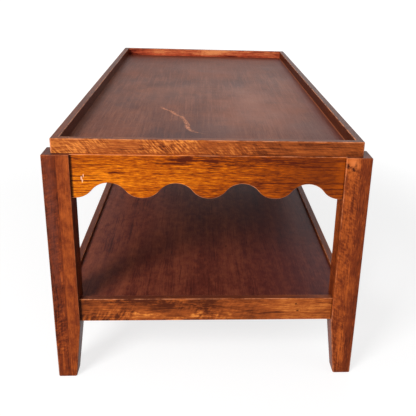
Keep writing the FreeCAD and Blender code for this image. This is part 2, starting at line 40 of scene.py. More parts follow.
# Faces that carry marks
LEG_FRONT = reach("leg_front_left", LOW, Y)
APRON_FRONT = reach("apron_front", LOW, Y)
SHELF_RAIL_FRONT = reach("shelf_rail_front", LOW, Y)
TRAY_FLOOR = reach("tray_panel", HIGH, Z)
TRAY_RIGHT_WALL = reach("tray_rail_right", LOW, X)
TRAY_REAR_WALL = reach("tray_rail_rear", LOW, Y)
SHELF_FLOOR = reach("shelf_panel", HIGH, Z)
# Inner faces of the legs, where aprons and shelf rails meet them
JOINT_X = reach("leg_front_right", LOW, X)
JOINT_Y = reach("leg_rear_left", LOW, Y)


def tone(red, green, blue):
    """Turns a colour from screen values of 0 to 255 into linear light."""
    linear = []
    for part in (red / 255, green / 255, blue / 255):
        linear.append(part / 12.92 if part <= 0.04045 else ((part + 0.055) / 1.055) ** 2.4)
    return (*linear, 1)


# Stains, each from dark to light
AMBER_STAIN = (tone(84, 28, 8), tone(168, 75, 4), tone(230, 130, 14))
BROWN_STAIN = (tone(52, 18, 10), tone(116, 48, 20), tone(184, 90, 34))
RED_STAIN = (tone(78, 32, 14), tone(156, 76, 30), tone(222, 134, 58))
FLAMED_STAIN = (tone(94, 28, 22), tone(196, 84, 52), tone(248, 156, 96))
TRAY_STAIN = (tone(76, 35, 24), tone(114, 61, 41), tone(147, 87, 59))
SHELF_STAIN = (tone(54, 19, 16), tone(94, 39, 29), tone(134, 67, 45))
UNSTAINED = (tone(140, 96, 60), tone(186, 138, 92), tone(214, 172, 124))
# Tones of marks and of zinc-plated steel
# pale edge tone: worn wood and a painted highlight together
WORN_AND_HIGHLIGHT = tone(226, 144, 98)
CHIPPED = tone(240, 186, 150)
KNOT = tone(62, 20, 10)
PORE = tone(60, 28, 14)
SEAM = tone(30, 12, 8)
SCUFFED = tone(222, 140, 96)
ZINC = (tone(120, 116, 106), tone(176, 172, 160))

# Patterns of noise: spots per metre along and across the grain, or along X, Y and Z, then detail, roughness
# and, where a pattern is cut out of the noise, the values at which it starts and is full
PATTERNS = {
    "clouds": ((1.4, 13, 13), 2.0, 0.5),
    "bands": ((4, 60, 60), 3.0, 0.6),
    "dark_lines": ((5.5, 340, 340), 3.0, 0.55, 0.5, 0.32),
    "line_fields": ((5, 26, 26), 2.0, 0.5, 0.4, 0.6),
    "dashes": ((62, 560, 560), 3.0, 0.7),
    "fibres": ((26, 800, 800), 3.0, 0.7),
    "pores": ((60, 1500, 1500), 1.0, 0.5, 0.64, 0.71),
    "mottle": ((42, 60, 60), 4.0, 0.65),
    "curl_fields": ((9, 22, 22), 2.0, 0.5, 0.36, 0.6),
    "flakes": ((42, 130, 130), 4.0, 0.7, 0.46, 0.68),
    "flake_fields": ((12, 40, 40), 2.0, 0.5, 0.42, 0.6),
    "top_sheen_and_shade": ((12, 90, 90), 3.0, 0.6, 0.25, 0.7),
    "rubbing": ((30, 30, 30), 4.0, 0.7, 0.36, 0.6),
    "dulling": ((9, 9, 9), 4.0, 0.6),
    "tray_clouds": ((7, 3.6, 1), 4.0, 0.62),
    "tray_long_rubbing": ((260, 9, 1), 3.0, 0.6),
    "tray_cross_rubbing": ((11, 150, 1), 3.0, 0.6),
    "scuff_wobble": ((90, 40, 1), 3.0, 0.7),
    "scuff_breaks": ((420, 260, 1), 3.0, 0.7, 0.4, 0.58),
    "zinc": ((400, 400, 400), 3.0, 0.6),
}
# Middle of any noise, and of the level that a stain's tones follow
MIDDLE = 0.5
# Sockets of a Mix node that mixes colours
MIX_SHARE, MIX_FIRST, MIX_SECOND = 0, 6, 7
MIX_RESULT = 2


class Shader:
    """A material's node tree, with short calls for the nodes that the finishes use."""

    def __init__(self, name):
        """Starts a material with a plain surface."""
        self.material = bpy.data.materials.new(name)
        self.material.use_nodes = True
        self.tree = self.material.node_tree
        self.surface = self.tree.nodes["Principled BSDF"]

    def add(self, kind, sockets, **settings):
        """Adds a node, sets its options and gives each named socket a value or another node's output."""
        node = self.tree.nodes.new(kind)
        for key, value in settings.items():
            setattr(node, key, value)
        for key, value in sockets.items():
            self.feed(node.inputs[key], value)
        return node

    def feed(self, socket, value):
        """Sets a socket to a number or colour, or links another node's output to it."""
        if isinstance(value, bpy.types.NodeSocket):
            self.tree.links.new(value, socket)
        else:
            socket.default_value = value

    def maths(self, operation, *values):
        """Works out a number from other numbers."""
        return self.add("ShaderNodeMath", dict(enumerate(values)), operation=operation).outputs[0]

    def vector(self, operation, *values):
        """Works out a vector from other vectors or numbers."""
        return self.add("ShaderNodeVectorMath", dict(enumerate(values)), operation=operation).outputs[0]

    def length(self, value):
        """Gives how long a vector is."""
        return self.add("ShaderNodeVectorMath", {0: value}, operation="LENGTH").outputs["Value"]

    def parts(self, value):
        """Splits a vector along X, Y and Z."""
        return self.add("ShaderNodeSeparateXYZ", {0: value}).outputs

    def noise(self, place, scale, detail=2.0, rough=0.5):
        """Gives cloudy noise on a place that is first stretched by a scale for each axis."""
        stretched = self.vector("MULTIPLY", place, scale)
        sockets = {"Vector": stretched, "Scale": 1.0, "Detail": detail, "Roughness": rough}
        return self.add("ShaderNodeTexNoise", sockets).outputs

    def pattern(self, name, place, start=0.0, end=1.0):
        """Gives a pattern by its name, from start to end where it is cut out of the noise."""
        scale, detail, rough, *cut = PATTERNS[name]
        spots = self.noise(place, scale, detail, rough)["Fac"]
        return self.fade(spots, *cut, start, end) if cut else spots

    def swing(self, spots):
        """Lets noise swing about zero."""
        return self.maths("SUBTRACT", spots, MIDDLE)

    def fade(self, value, low, high, start=0.0, end=1.0):
        """Runs smoothly from start to end while the value goes from low to high."""
        if low > high:
            low, high, start, end = high, low, end, start
        sockets = {"Value": value, "From Min": low, "From Max": high, "To Min": start, "To Max": end}
        return self.add("ShaderNodeMapRange", sockets, interpolation_type="SMOOTHSTEP").outputs[0]

    def mix(self, share, first, second, kind):
        """Lays a share of the second colour over the first, or multiplies them."""
        sockets = {MIX_SHARE: share, MIX_FIRST: first, MIX_SECOND: second}
        return self.add("ShaderNodeMix", sockets, data_type="RGBA", blend_type=kind).outputs[MIX_RESULT]

    def ramp(self, value, levels, tones):
        """Gives each tone at its level, and what lies between them elsewhere."""
        node = self.add("ShaderNodeValToRGB", {0: value})
        points = node.color_ramp.elements
        while len(points) < len(tones):
            points.new(MIDDLE)
        for point, level, colour in zip(points, levels, tones):
            point.position = level
            point.color = colour
        return node.outputs[0]

    def bump(self, height, strength, distance):
        """Gives a surface relief that follows a height, of so many metres at its full strength."""
        sockets = {"Height": height, "Strength": strength, "Distance": distance}
        return self.add("ShaderNodeBump", sockets).outputs[0]

    def principled(self, **sockets):
        """Sets the surface's sockets, whose names have an underscore for each space."""
        for key, value in sockets.items():
            self.feed(self.surface.inputs[key.replace("_", " ")], value)


# Turns that lay a piece's grain, which runs along X, Y or Z, along the pattern's own X
GRAIN_TURNS = ((0, 0, 0), (0, 0, -math.pi / 2), (0, math.pi / 2, 0))
# Sideways drift of the grain: its noise in spots per metre, and how far it goes in metres
DRIFT_SCALE = (3.4, 13, 13)
DRIFT_REACH = (0, 0.02, 0.02)
# Shift of the pattern from one glued stave of a leg to the next, and half the width of the change
STAVE_SHIFT = (0.83, 0.47, 0.71)
STAVE_EDGE = 0.0003
# Where the grain starts to bend round a knot and bends most, in sizes of the knot, and how much
KNOT_BEND_EDGES = (3.2, 0.6)
KNOT_BEND = -0.72
# Share of the fibres in how light the wood is
FIBRE_SHARE = 0.45
# Values at which a curly streak starts and is full, and what is left of curl and flakes past their end
STREAK_EDGES = (0.34, 0.66)
CURL_LEFT = 0.15
FLAKES_LEFT = 0.1
# How squarely a face looks to a side or up where painted light, shade or sheen starts and is full
SIDE_FACING = (0.75, 0.97)
UP_FACING = (0.6, 0.97)
# How squarely a face looks along an axis where it is flat, and where it is a rounded edge
EDGE_FACING = (0.995, 0.93)
# Share of the painted sheen and shade on upper faces in its thinnest spots
TOP_SHEEN_AND_SHADE_THIN = 0.55
# Levels of a stain's dark, middle and light tone
STAIN_LEVELS = (0.08, MIDDLE, 0.92)
# How much a pore, a seam and a chip change the colour under them
PORE_COVER = 0.4
SEAM_COVER = 0.8
CHIP_COVER = 0.85
# Ragged edges of marks: detail and roughness of the noise, how far it pushes the edge, and where the mark
# starts and is full, both in sizes of the mark
MARK_EDGES = {
    "flame": (3.0, 0.6, 1.4, 2.1, 0.7),
    "blot": (4.0, 0.6, 1.6, 2.1, 0.6),
    "knot": (3.0, 0.6, 2.0, 2.2, 1.2),
    "chip": (2.0, 0.5, 1.2, 1.7, 1.3),
}
# Spots per metre in the ragged edges, from broad to fine
STAIN_EDGE = 14
PATCH_EDGE = 60
FLAME_EDGE = 70
KNOT_EDGE = 300
CHIP_EDGE = 500
# What dulled patches, fibres and pores add to the lacquer's roughness
DULLED_ROUGHNESS = 0.16
FIBRE_ROUGHNESS = 0.1
PORE_ROUGHNESS = 0.14
# Relief of the lacquer: height of a pore against a fibre, strength, and height in metres
PORE_HEIGHT = -0.6
RELIEF_STRENGTH = 0.14
RELIEF_HEIGHT = 0.0006
COAT_ROUGHNESS = 0.16


class Timber(Shader):
    """Lacquered wood, built up from tones, figure, marks, wear and gloss."""

    def __init__(self, name, grain, shift, stave, knots):
        """Lays the grain along an axis, parts the staves, bends the grain round knots and lets it drift."""
        super().__init__(name)
        coordinates = self.add("ShaderNodeTexCoord", {})
        self.spot = coordinates.outputs["Object"]
        self.facing = coordinates.outputs["Normal"]
        self.place = self.parts(self.spot)
        spot = self.spot
        if stave is not None:
            self.side = self.fade(self.place[X], stave - STAVE_EDGE, stave + STAVE_EDGE)
            spot = self.vector("ADD", spot, self.vector("MULTIPLY", STAVE_SHIFT, self.side))
        self.rings = []
        for centre, size in knots:
            ring = self.distance(centre, size)
            away = self.vector("SUBTRACT", self.spot, centre)
            bend = self.fade(ring, *KNOT_BEND_EDGES, 0.0, KNOT_BEND)
            spot = self.vector("ADD", spot, self.vector("MULTIPLY", away, bend))
            self.rings.append(ring)
        turn = {"Vector": spot, "Location": shift, "Rotation": GRAIN_TURNS[grain]}
        self.along = self.add("ShaderNodeMapping", turn).outputs[0]
        drift = self.noise(self.along, DRIFT_SCALE)["Color"]
        drift = self.vector("SUBTRACT", drift, (MIDDLE, MIDDLE, MIDDLE))
        self.drifting = self.vector("ADD", self.along, self.vector("MULTIPLY", drift, DRIFT_REACH))
        self.fibres = self.pattern("fibres", self.drifting)
        self.pores = self.pattern("pores", self.drifting)

    def distance(self, centre, size):
        """Gives how far a spot is from the middle of a mark, in sizes of the mark."""
        return self.length(self.vector("DIVIDE", self.vector("SUBTRACT", self.spot, centre), size))

    def mark(self, kind, away, grain, amount=1.0):
        """Gives a mark with a ragged edge, from its distance and from the spots per metre in that edge."""
        detail, rough, push, outer, inner = MARK_EDGES[kind]
        spots = self.noise(self.spot, (grain, grain, grain), detail, rough)["Fac"]
        return self.fade(self.maths("MULTIPLY_ADD", spots, push, away), outer, inner, 0.0, amount)

    def start_level(self, cloud, band, line, dash, lift, calm):
        """Sets how light the wood is, by clouds, bands, dashes, fibres and thin dark lines in fields."""
        fields = self.pattern("line_fields", self.along)
        lines = self.maths("MULTIPLY", self.pattern("dark_lines", self.drifting), fields)
        figure = self.maths("MULTIPLY", self.swing(self.pattern("bands", self.drifting)), band)
        dashes = self.swing(self.pattern("dashes", self.drifting))
        figure = self.maths("MULTIPLY_ADD", dashes, dash, figure)
        figure = self.maths("MULTIPLY_ADD", self.swing(self.fibres), FIBRE_SHARE, figure)
        figure = self.maths("MULTIPLY_ADD", lines, -line, figure)
        if calm:
            axis, start, end, share = calm
            figure = self.maths("MULTIPLY", figure, self.fade(self.place[axis], start, end, 1.0, share))
        base = MIDDLE + lift - cloud * MIDDLE
        clouds = self.maths("MULTIPLY_ADD", self.pattern("clouds", self.drifting), cloud, base)
        self.level = self.maths("ADD", clouds, figure)

    def lighten(self, share, amount):
        """Makes the wood lighter by a share of an amount, or darker where the amount is below zero."""
        self.level = self.maths("MULTIPLY_ADD", share, amount, self.level)

    def mottle(self, strength):
        """Adds soft spots, hardly longer along the grain than across it."""
        self.lighten(self.swing(self.pattern("mottle", self.along)), strength)

    def slope(self, axis, start, end, change):
        """Makes the wood lighter or darker along an axis."""
        self.lighten(self.fade(self.place[axis], start, end), change)

    def curl(self, strength, slant, scale, start, end):
        """Adds the short cross streaks of curly wood, leaning by an angle, which fade out along X."""
        leaning = self.add("ShaderNodeMapping", {"Vector": self.spot, "Rotation": (0, slant, 0)}).outputs[0]
        streaks = self.swing(self.fade(self.noise(leaning, scale)["Fac"], *STREAK_EDGES))
        fields = self.pattern("curl_fields", self.along)
        share = self.maths("MULTIPLY", fields, self.fade(self.place[X], start, end, 1.0, CURL_LEFT))
        self.lighten(self.maths("MULTIPLY", streaks, share), strength)

    def flake(self, strength, start, end):
        """Adds light flakes of figure, which fade out along X."""
        fields = self.pattern("flake_fields", self.along)
        share = self.maths("MULTIPLY", fields, self.fade(self.place[X], start, end, 1.0, FLAKES_LEFT))
        self.lighten(self.maths("MULTIPLY", self.pattern("flakes", self.along), share), strength)

    def paint_side_light_and_shade(self, direction, change):
        """Paints light on the faces that look in one direction, or shade where the change is below zero."""
        towards = self.add("ShaderNodeVectorMath", {0: self.facing, 1: direction}, operation="DOT_PRODUCT")
        self.lighten(self.fade(towards.outputs["Value"], *SIDE_FACING), change)

    def flame(self, centre, size, strength):
        """Lightens a patch of figured wood, or darkens it where the strength is below zero."""
        self.lighten(self.mark("flame", self.distance(centre, size), FLAME_EDGE), strength)

    def paint(self, tones):
        """Turns the level into the stain's colour and sinks the dark pores."""
        self.colour = self.ramp(self.level, STAIN_LEVELS, tones)
        self.cover(self.maths("MULTIPLY", self.pores, PORE_COVER), PORE, "MULTIPLY")

    def cover(self, share, colour, kind="MIX"):
        """Lays a share of a colour over the wood's own."""
        self.colour = self.mix(share, self.colour, colour, kind)

    def tint(self, value, start, end, amount, colour):
        """Lays on a colour that comes in while a value goes from start to end."""
        self.cover(self.fade(value, start, end, 0.0, amount), colour)

    def blot(self, centre, size, colour, amount, grain):
        """Lays a colour on a patch, whose ragged edge has so many spots per metre."""
        self.cover(self.mark("blot", self.distance(centre, size), grain, amount), colour)

    def draw_knots(self):
        """Darkens the middle of each knot that the grain bends round."""
        for ring in self.rings:
            self.cover(self.mark("knot", ring, KNOT_EDGE), KNOT)

    def chip(self, centre, size):
        """Bares pale wood where the surface is chipped."""
        self.cover(self.mark("chip", self.distance(centre, size), CHIP_EDGE, CHIP_COVER), CHIPPED)

    def seam(self, axis, place, width):
        """Draws the dark line of a joint at a place along an axis; a wide one also paints the shadow beside
        a leg.
        """
        off = self.maths("ABSOLUTE", self.maths("SUBTRACT", self.place[axis], place))
        self.tint(off, width, width / 3, SEAM_COVER, SEAM)

    def paint_top_sheen_and_shade(self, colour, amount):
        """Paints a sheen and shade in colour over the faces that look up."""
        up = self.fade(self.parts(self.facing)[Z], *UP_FACING)
        patchy = self.pattern("top_sheen_and_shade", self.along, TOP_SHEEN_AND_SHADE_THIN, 1.0)
        self.cover(self.maths("MULTIPLY", self.maths("MULTIPLY", up, patchy), amount), colour)

    def wear_and_highlight_edges(self, amount):
        """Rubs the rounded edges, which face between the piece's own axes, down to paler wood that also
        paints a highlight on them.
        """
        sides = self.parts(self.vector("ABSOLUTE", self.facing))
        flat = self.maths("MAXIMUM", self.maths("MAXIMUM", sides[X], sides[Y]), sides[Z])
        rubbed = self.pattern("rubbing", self.spot)
        edge = self.maths("MULTIPLY", self.fade(flat, *EDGE_FACING), rubbed)
        self.cover(self.maths("MULTIPLY", edge, amount), WORN_AND_HIGHLIGHT)

    def lacquer(self, roughness, shine, coat):
        """Lays a satin lacquer over the wood, rougher and lower in the pores, with faint dulled patches."""
        dulled = self.pattern("dulling", self.spot)
        rough = self.maths("MULTIPLY_ADD", dulled, DULLED_ROUGHNESS, roughness - DULLED_ROUGHNESS / 2)
        rough = self.maths("MULTIPLY_ADD", self.fibres, FIBRE_ROUGHNESS, rough)
        rough = self.maths("MULTIPLY_ADD", self.pores, PORE_ROUGHNESS, rough)
        relief = self.maths("MULTIPLY_ADD", self.pores, PORE_HEIGHT, self.fibres)
        relief = self.bump(relief, RELIEF_STRENGTH, RELIEF_HEIGHT)
        self.principled(Base_Color=self.colour, Roughness=rough, Normal=relief)
        self.principled(Specular_IOR_Level=shine, Coat_Weight=coat, Coat_Roughness=COAT_ROUGHNESS)
        return self.material


def wood(
    name, grain, shift, tones, *, cloud=0.7, band=0.5, line=0.5, dash=0.8, lift=0.0, calm=None, mottle=0.2,
    stave=None, stave_change=0.0, knots=(), slopes=(), curls=(), flakes=(), sides=(), flames=(), blots=(),
    chips=(), seams=(), top_sheen_and_shade=None, edge_wear_and_highlight=0.7,
):
    """Makes the finish of one wooden piece from the ways in which it differs from plain lacquered wood."""
    timber = Timber(name, grain, shift, stave, knots)
    timber.start_level(cloud, band, line, dash, lift, calm)
    timber.mottle(mottle)
    if stave is not None:
        timber.lighten(timber.side, stave_change)
    for slope in slopes:
        timber.slope(*slope)
    for curl in curls:
        timber.curl(*curl)
    for flake in flakes:
        timber.flake(*flake)
    for side in sides:
        timber.paint_side_light_and_shade(*side)
    for flame in flames:
        timber.flame(*flame)
    timber.paint(tones)
    for blot in blots:
        timber.blot(*blot)
    timber.draw_knots()
    for chip in chips:
        timber.chip(*chip)
    for seam in seams:
        timber.seam(*seam)
    # painted sheen and shade on the upper faces
    if top_sheen_and_shade:
        timber.paint_top_sheen_and_shade(*top_sheen_and_shade)
    timber.wear_and_highlight_edges(edge_wear_and_highlight)
    return timber


# Dark joint lines at the shoulders: axis, place along it and width, which is more at the left ends, where
# the line also paints the shadow that the leg casts
SEAM_WIDTH = 0.0016
# widened into a painted shadow of the leg beside the left ends
SEAM_AND_SHADOW_WIDTH = 3.5 * SEAM_WIDTH
END_SEAMS_AND_SHADOWS = [(X, -JOINT_X, SEAM_AND_SHADOW_WIDTH), (X, JOINT_X, SEAM_WIDTH)]
SIDE_SEAMS = [(Y, -JOINT_Y, SEAM_WIDTH), (Y, JOINT_Y, SEAM_WIDTH)]
# Sheen and shade painted on the upper faces of the tray's rim, of the shelf rails and of the legs: its tone
# and amount
RIM_TOP_SHEEN_AND_SHADE = (tone(76, 41, 32), 0.8)
SHELF_TOP_SHEEN_AND_SHADE = (tone(102, 50, 35), 0.8)
LEG_TOP_SHEEN_AND_SHADE = (tone(78, 44, 38), 0.8)
# How far a mark reaches into the wood, in metres
DEEP = 0.03
SHALLOW = 0.02

# Each wooden node's grain axis, shift of its pattern in metres, stain, and the ways in which it differs:
#   cloud, band, line, dash: strengths of these parts of the figure
#   lift, mottle: how much lighter the wood is, and strength of its soft spots
#   calm: axis, start and end of a stretch over which the figure gets calmer, and the share that is left
#   stave, stave_change: place of the glue line along X, and how much lighter the wood is to its right
#   slopes: axis, start, end and change
#   curls: strength, slant, spots per metre along X, Y and Z, start and end along X
#   flakes: strength, start and end along X
#   sides: direction, and change of the light or shade painted on the faces that look that way
#   flames: middle, size and change
#   blots: middle, size, tone, amount and spots per metre in the edge
#   knots, chips: middle and size
#   seams: axis, place and width of dark joint lines, some widened into painted shadow
#   top sheen and shade: tone and amount of the sheen and shade painted on the upper faces
#   edge wear and highlight: amount of pale wood on the edges, worn wood and painted highlight together
WOODS = {
    "leg_front_left": (Z, (0.3, 0.05, 0.31), BROWN_STAIN, {
        "band": 0.35, "line": 0.25, "dash": 0.7, "lift": -0.07, "mottle": 0.8,
        "calm": (X, -0.282, -0.276, 0.5),
        "stave": -0.2785, "stave_change": 0.14,
        "slopes": [(Z, 0.3, 0.06, 0.1)],
        "curls": [(0.28, 0.5, (120, 60, 300), -0.287, -0.277)],
        # painted shade on the inner face, which looks to the right
        "sides": [(TO_RIGHT, -0.42)],
        "flames": [
            ((-0.292, LEG_FRONT, 0.04), (0.003, DEEP, 0.05), 0.25),
            ((-0.296, LEG_FRONT, 0.13), (0.003, DEEP, 0.04), 0.2),
        ],
        "blots": [((-0.294, LEG_FRONT, 0.36), (0.014, DEEP, 0.2), tone(112, 60, 48), 0.5, PATCH_EDGE)],
        "top_sheen_and_shade": LEG_TOP_SHEEN_AND_SHADE, "edge_wear_and_highlight": 0.2,
    }),
    "leg_front_right": (Z, (1.9, -0.28, 0.62), BROWN_STAIN, {
        "band": 0.4, "line": 0.35, "dash": 0.9, "lift": 0.03, "mottle": 0.5,
        "stave": 0.2825, "stave_change": -0.04,
        "knots": [
            ((0.258, LEG_FRONT, 0.464), (0.0045, SHALLOW, 0.0075)),
            ((0.2698, LEG_FRONT, 0.4575), (0.005, SHALLOW, 0.0065)),
        ],
        "slopes": [(Z, 0.2, 0.36, 0.1)],
        "curls": [(0.22, -0.6, (110, 60, 280), 0.276, 0.292)],
        "flames": [
            ((0.262, LEG_FRONT, 0.466), (0.02, DEEP, 0.02), 0.7),
            ((0.287, LEG_FRONT, 0.2), (0.01, DEEP, 0.05), 0.2),
            ((0.279, LEG_FRONT, 0.055), (0.008, DEEP, 0.05), 0.45),
        ],
        "blots": [
            ((0.269, LEG_FRONT, 0.47), (0.0125, DEEP, 0.016), tone(216, 120, 62), 0.9, PATCH_EDGE),
            ((0.264, LEG_FRONT, 0.4615), (0.0085, DEEP, 0.0035), KNOT, 0.8, KNOT_EDGE),
            ((0.2735, LEG_FRONT, 0.4655), (0.0032, DEEP, 0.0085), KNOT, 0.75, KNOT_EDGE),
            ((0.2615, LEG_FRONT, 0.452), (0.0065, DEEP, 0.0045), KNOT, 0.6, KNOT_EDGE),
            ((0.2765, LEG_FRONT, 0.455), (0.004, DEEP, 0.005), KNOT, 0.5, KNOT_EDGE),
        ],
        "top_sheen_and_shade": LEG_TOP_SHEEN_AND_SHADE, "edge_wear_and_highlight": 0.4,
    }),
    "leg_rear_left": (Z, (3.1, 0.9, 0.14), BROWN_STAIN, {
        "mottle": 0.4,
        "stave": -0.277, "stave_change": 0.14,
        # painted shade on the inner face, which looks to the right
        "sides": [(TO_RIGHT, -0.3)],
        "top_sheen_and_shade": LEG_TOP_SHEEN_AND_SHADE, "edge_wear_and_highlight": 0.3,
    }),
    "leg_rear_right": (Z, (4.7, 0.2, 1.3), BROWN_STAIN, {
        "mottle": 0.4,
        "stave": 0.281, "stave_change": -0.12,
        "top_sheen_and_shade": LEG_TOP_SHEEN_AND_SHADE, "edge_wear_and_highlight": 0.3,
    }),
    "apron_front": (X, (0.4, 0.64, -0.38), AMBER_STAIN, {
        "cloud": 0.6, "band": 0.9, "line": 1.2, "dash": 1.8, "lift": 0.1,
        "calm": (X, 0.02, 0.24, 0.35),
        "slopes": [(X, -0.25, 0.26, -0.36)],
        "flames": [
            ((-0.047, APRON_FRONT, 0.472), (0.016, DEEP, 0.007), -0.55),
            ((-0.11, APRON_FRONT, 0.43), (0.05, DEEP, 0.03), -0.12),
            ((0.252, APRON_FRONT, 0.44), (0.022, DEEP, 0.07), 0.2),
        ],
        "chips": [
            ((-0.2354, APRON_FRONT, 0.4345), (0.0013, SHALLOW, 0.0042)),
            ((-0.2339, APRON_FRONT, 0.4295), (0.0012, SHALLOW, 0.0042)),
            ((-0.2318, APRON_FRONT, 0.4392), (0.0009, SHALLOW, 0.0036)),
        ],
        "seams": END_SEAMS_AND_SHADOWS,
    }),
    "apron_rear": (X, (2.4, -0.5, -0.3), AMBER_STAIN, {"line": 0.6, "seams": END_SEAMS_AND_SHADOWS}),
    "apron_left": (Y, (5.4, 0.33, -0.36), AMBER_STAIN, {"line": 0.6, "lift": -0.1, "seams": SIDE_SEAMS}),
    "apron_right": (Y, (7.4, -0.25, -0.41), AMBER_STAIN, {"line": 0.6, "lift": -0.15, "seams": SIDE_SEAMS}),
    "tray_rail_front": (X, (1.2, 0.66, -0.43), RED_STAIN, {
        "line": 0.4, "dash": 1.1, "lift": 0.24,
        "calm": (X, -0.05, 0.22, 0.7),
        "slopes": [(X, -0.25, 0.2, -0.32)],
        "curls": [
            (0.6, 0.75, (330, 90, 70), -0.06, 0.16),
            (0.3, 0.75, (38, 30, 16), 0.0, 0.28),
        ],
        # painted shade on the inner face, which looks to the back
        "sides": [(TO_BACK, -0.2)],
        "top_sheen_and_shade": RIM_TOP_SHEEN_AND_SHADE,
    }),
    "tray_rail_rear": (X, (3.3, -0.5, -0.44), FLAMED_STAIN, {
        "cloud": 1.7, "band": 1.4, "line": 0.6, "dash": 1.2, "lift": 0.13, "mottle": 0.5,
        "slopes": [(X, -0.16, -0.26, -0.3)],
        # painted light on the inner face, which looks to the front
        "sides": [(TO_FRONT, 0.2)],
        "flames": [
            ((0.02, TRAY_REAR_WALL, 0.497), (0.06, DEEP, 0.02), 0.42),
            ((0.17, TRAY_REAR_WALL, 0.497), (0.07, DEEP, 0.02), -0.2),
        ],
        "top_sheen_and_shade": RIM_TOP_SHEEN_AND_SHADE,
    }),
    "tray_rail_left": (Y, (6.4, 0.2, -0.42), RED_STAIN, {
        "lift": -0.2,
        # painted shade on the inner face, which looks to the right
        "sides": [(TO_RIGHT, -0.75)],
        "top_sheen_and_shade": RIM_TOP_SHEEN_AND_SHADE,
    }),
    "tray_rail_right": (Y, (8.4, -0.2, -0.46), RED_STAIN, {
        "lift": -0.25,
        # painted shade on the inner face, which looks to the left
        "sides": [(TO_LEFT, -0.16)],
        "top_sheen_and_shade": RIM_TOP_SHEEN_AND_SHADE,
    }),
    "shelf_rail_front": (X, (9.2, 0.62, -0.1), RED_STAIN, {
        "line": 0.5, "dash": 0.8, "lift": -0.22, "mottle": 0.5,
        "knots": [
            ((0.1806, SHELF_RAIL_FRONT, 0.1643), (0.003, SHALLOW, 0.0025)),
            ((0.1845, SHELF_RAIL_FRONT, 0.1487), (0.003, SHALLOW, 0.003)),
        ],
        "slopes": [(X, 0.08, 0.16, 0.22)],
        "curls": [(0.45, -0.5, (190, 90, 50), -0.12, 0.1)],
        "flakes": [(0.5, -0.02, 0.1)],
        "flames": [
            ((0.0, SHELF_RAIL_FRONT, 0.155), (0.03, DEEP, 0.03), -0.22),
            ((0.06, SHELF_RAIL_FRONT, 0.164), (0.07, DEEP, 0.005), 0.25),
            ((-0.14, SHELF_RAIL_FRONT, 0.14), (0.05, DEEP, 0.008), 0.25),
            ((-0.21, SHELF_RAIL_FRONT, 0.16), (0.04, DEEP, 0.02), 0.2),
            ((-0.08, SHELF_RAIL_FRONT, 0.16), (0.05, DEEP, 0.02), -0.15),
        ],
        "seams": END_SEAMS_AND_SHADOWS,
        "top_sheen_and_shade": SHELF_TOP_SHEEN_AND_SHADE,
    }),
    "shelf_rail_rear": (X, (9.9, -0.5, -0.12), AMBER_STAIN, {
        "lift": -0.15,
        "seams": END_SEAMS_AND_SHADOWS,
        "top_sheen_and_shade": SHELF_TOP_SHEEN_AND_SHADE,
    }),
    "shelf_rail_left": (Y, (10.4, 0.22, -0.08), RED_STAIN, {
        "lift": -0.2,
        "seams": SIDE_SEAMS,
        "top_sheen_and_shade": SHELF_TOP_SHEEN_AND_SHADE,
    }),
    "shelf_rail_right": (Y, (11.4, -0.2, -0.13), RED_STAIN, {
        "lift": -0.2,
        "seams": SIDE_SEAMS,
        "top_sheen_and_shade": SHELF_TOP_SHEEN_AND_SHADE,
    }),
    "tray_bearer_front": (X, (14.2, 0.2, -0.3), UNSTAINED, {}),
    "tray_bearer_middle": (X, (14.9, 0.1, -0.3), UNSTAINED, {}),
    "tray_bearer_rear": (X, (15.6, -0.2, -0.3), UNSTAINED, {}),
    "corner_brace_front_left": (X, (16.3, 0.6, -0.3), UNSTAINED, {}),
    "corner_brace_front_right": (X, (17.3, 0.6, -0.3), UNSTAINED, {}),
    "corner_brace_rear_left": (X, (18.3, -0.6, -0.3), UNSTAINED, {}),
    "corner_brace_rear_right": (X, (19.3, -0.6, -0.3), UNSTAINED, {}),
    "tray_dowels": (Z, (20.3, 0.0, 0.0), UNSTAINED, {}),
    "tray_corner_splines": (Z, (21.3, 0.0, 0.0), UNSTAINED, {}),
}

# Roughness, shine and coat of the lacquer on legs and rails, on the tray floor and on the shelf
RAIL_LACQUER = (0.34, 0.05, 0.02)
TRAY_LACQUER = (0.4, 0.05, 0.02)
SHELF_LACQUER = (0.4, 0.06, 0.01)

# Tray floor: grain axis, shift of its pattern, stain and the ways in which its wood differs
TRAY_WOOD = (Y, (12.4, 0.0, -0.3), TRAY_STAIN)
TRAY_WAYS = {"cloud": 0.5, "band": 0.5, "line": 0.2, "dash": 0.6}
# Cloudy stain and rubbing on it: pattern, values at which it starts and is full, amount and tone
TRAY_CLOUDS = [
    ("tray_clouds", 0.5, 0.66, 0.6, tone(134, 70, 42)),
    ("tray_clouds", 0.5, 0.34, 0.7, tone(72, 38, 34)),
    ("tray_long_rubbing", 0.5, 0.64, 0.32, tone(154, 95, 72)),
    ("tray_cross_rubbing", 0.5, 0.66, 0.22, tone(80, 42, 32)),
]
# Its darker near end and redder far middle, and red strips along its rear and right walls that are painted
# reflections of those walls: axis, start, end, amount and tone
TRAY_TONES_AND_REFLECTIONS = [
    (Y, -0.3, -0.58, 0.25, tone(84, 40, 26)),
    (Y, 0.1, 0.4, 0.4, tone(98, 44, 29)),
    # painted reflection of the rear wall
    (Y, 0.5, 0.575, 0.35, tone(118, 50, 36)),
    # painted reflection of the right wall
    (X, 0.225, 0.268, 0.6, tone(104, 42, 32)),
]
# Painted highlight along the foot of its right and rear walls: where it starts and is full, from the wall,
# amount and tone
RIGHT_LINE = (0.003, 0.0015)
REAR_LINE = (0.006, 0.003)
PAINTED_WALL_HIGHLIGHT_COVER = 0.7
PAINTED_WALL_HIGHLIGHT = tone(206, 118, 74)
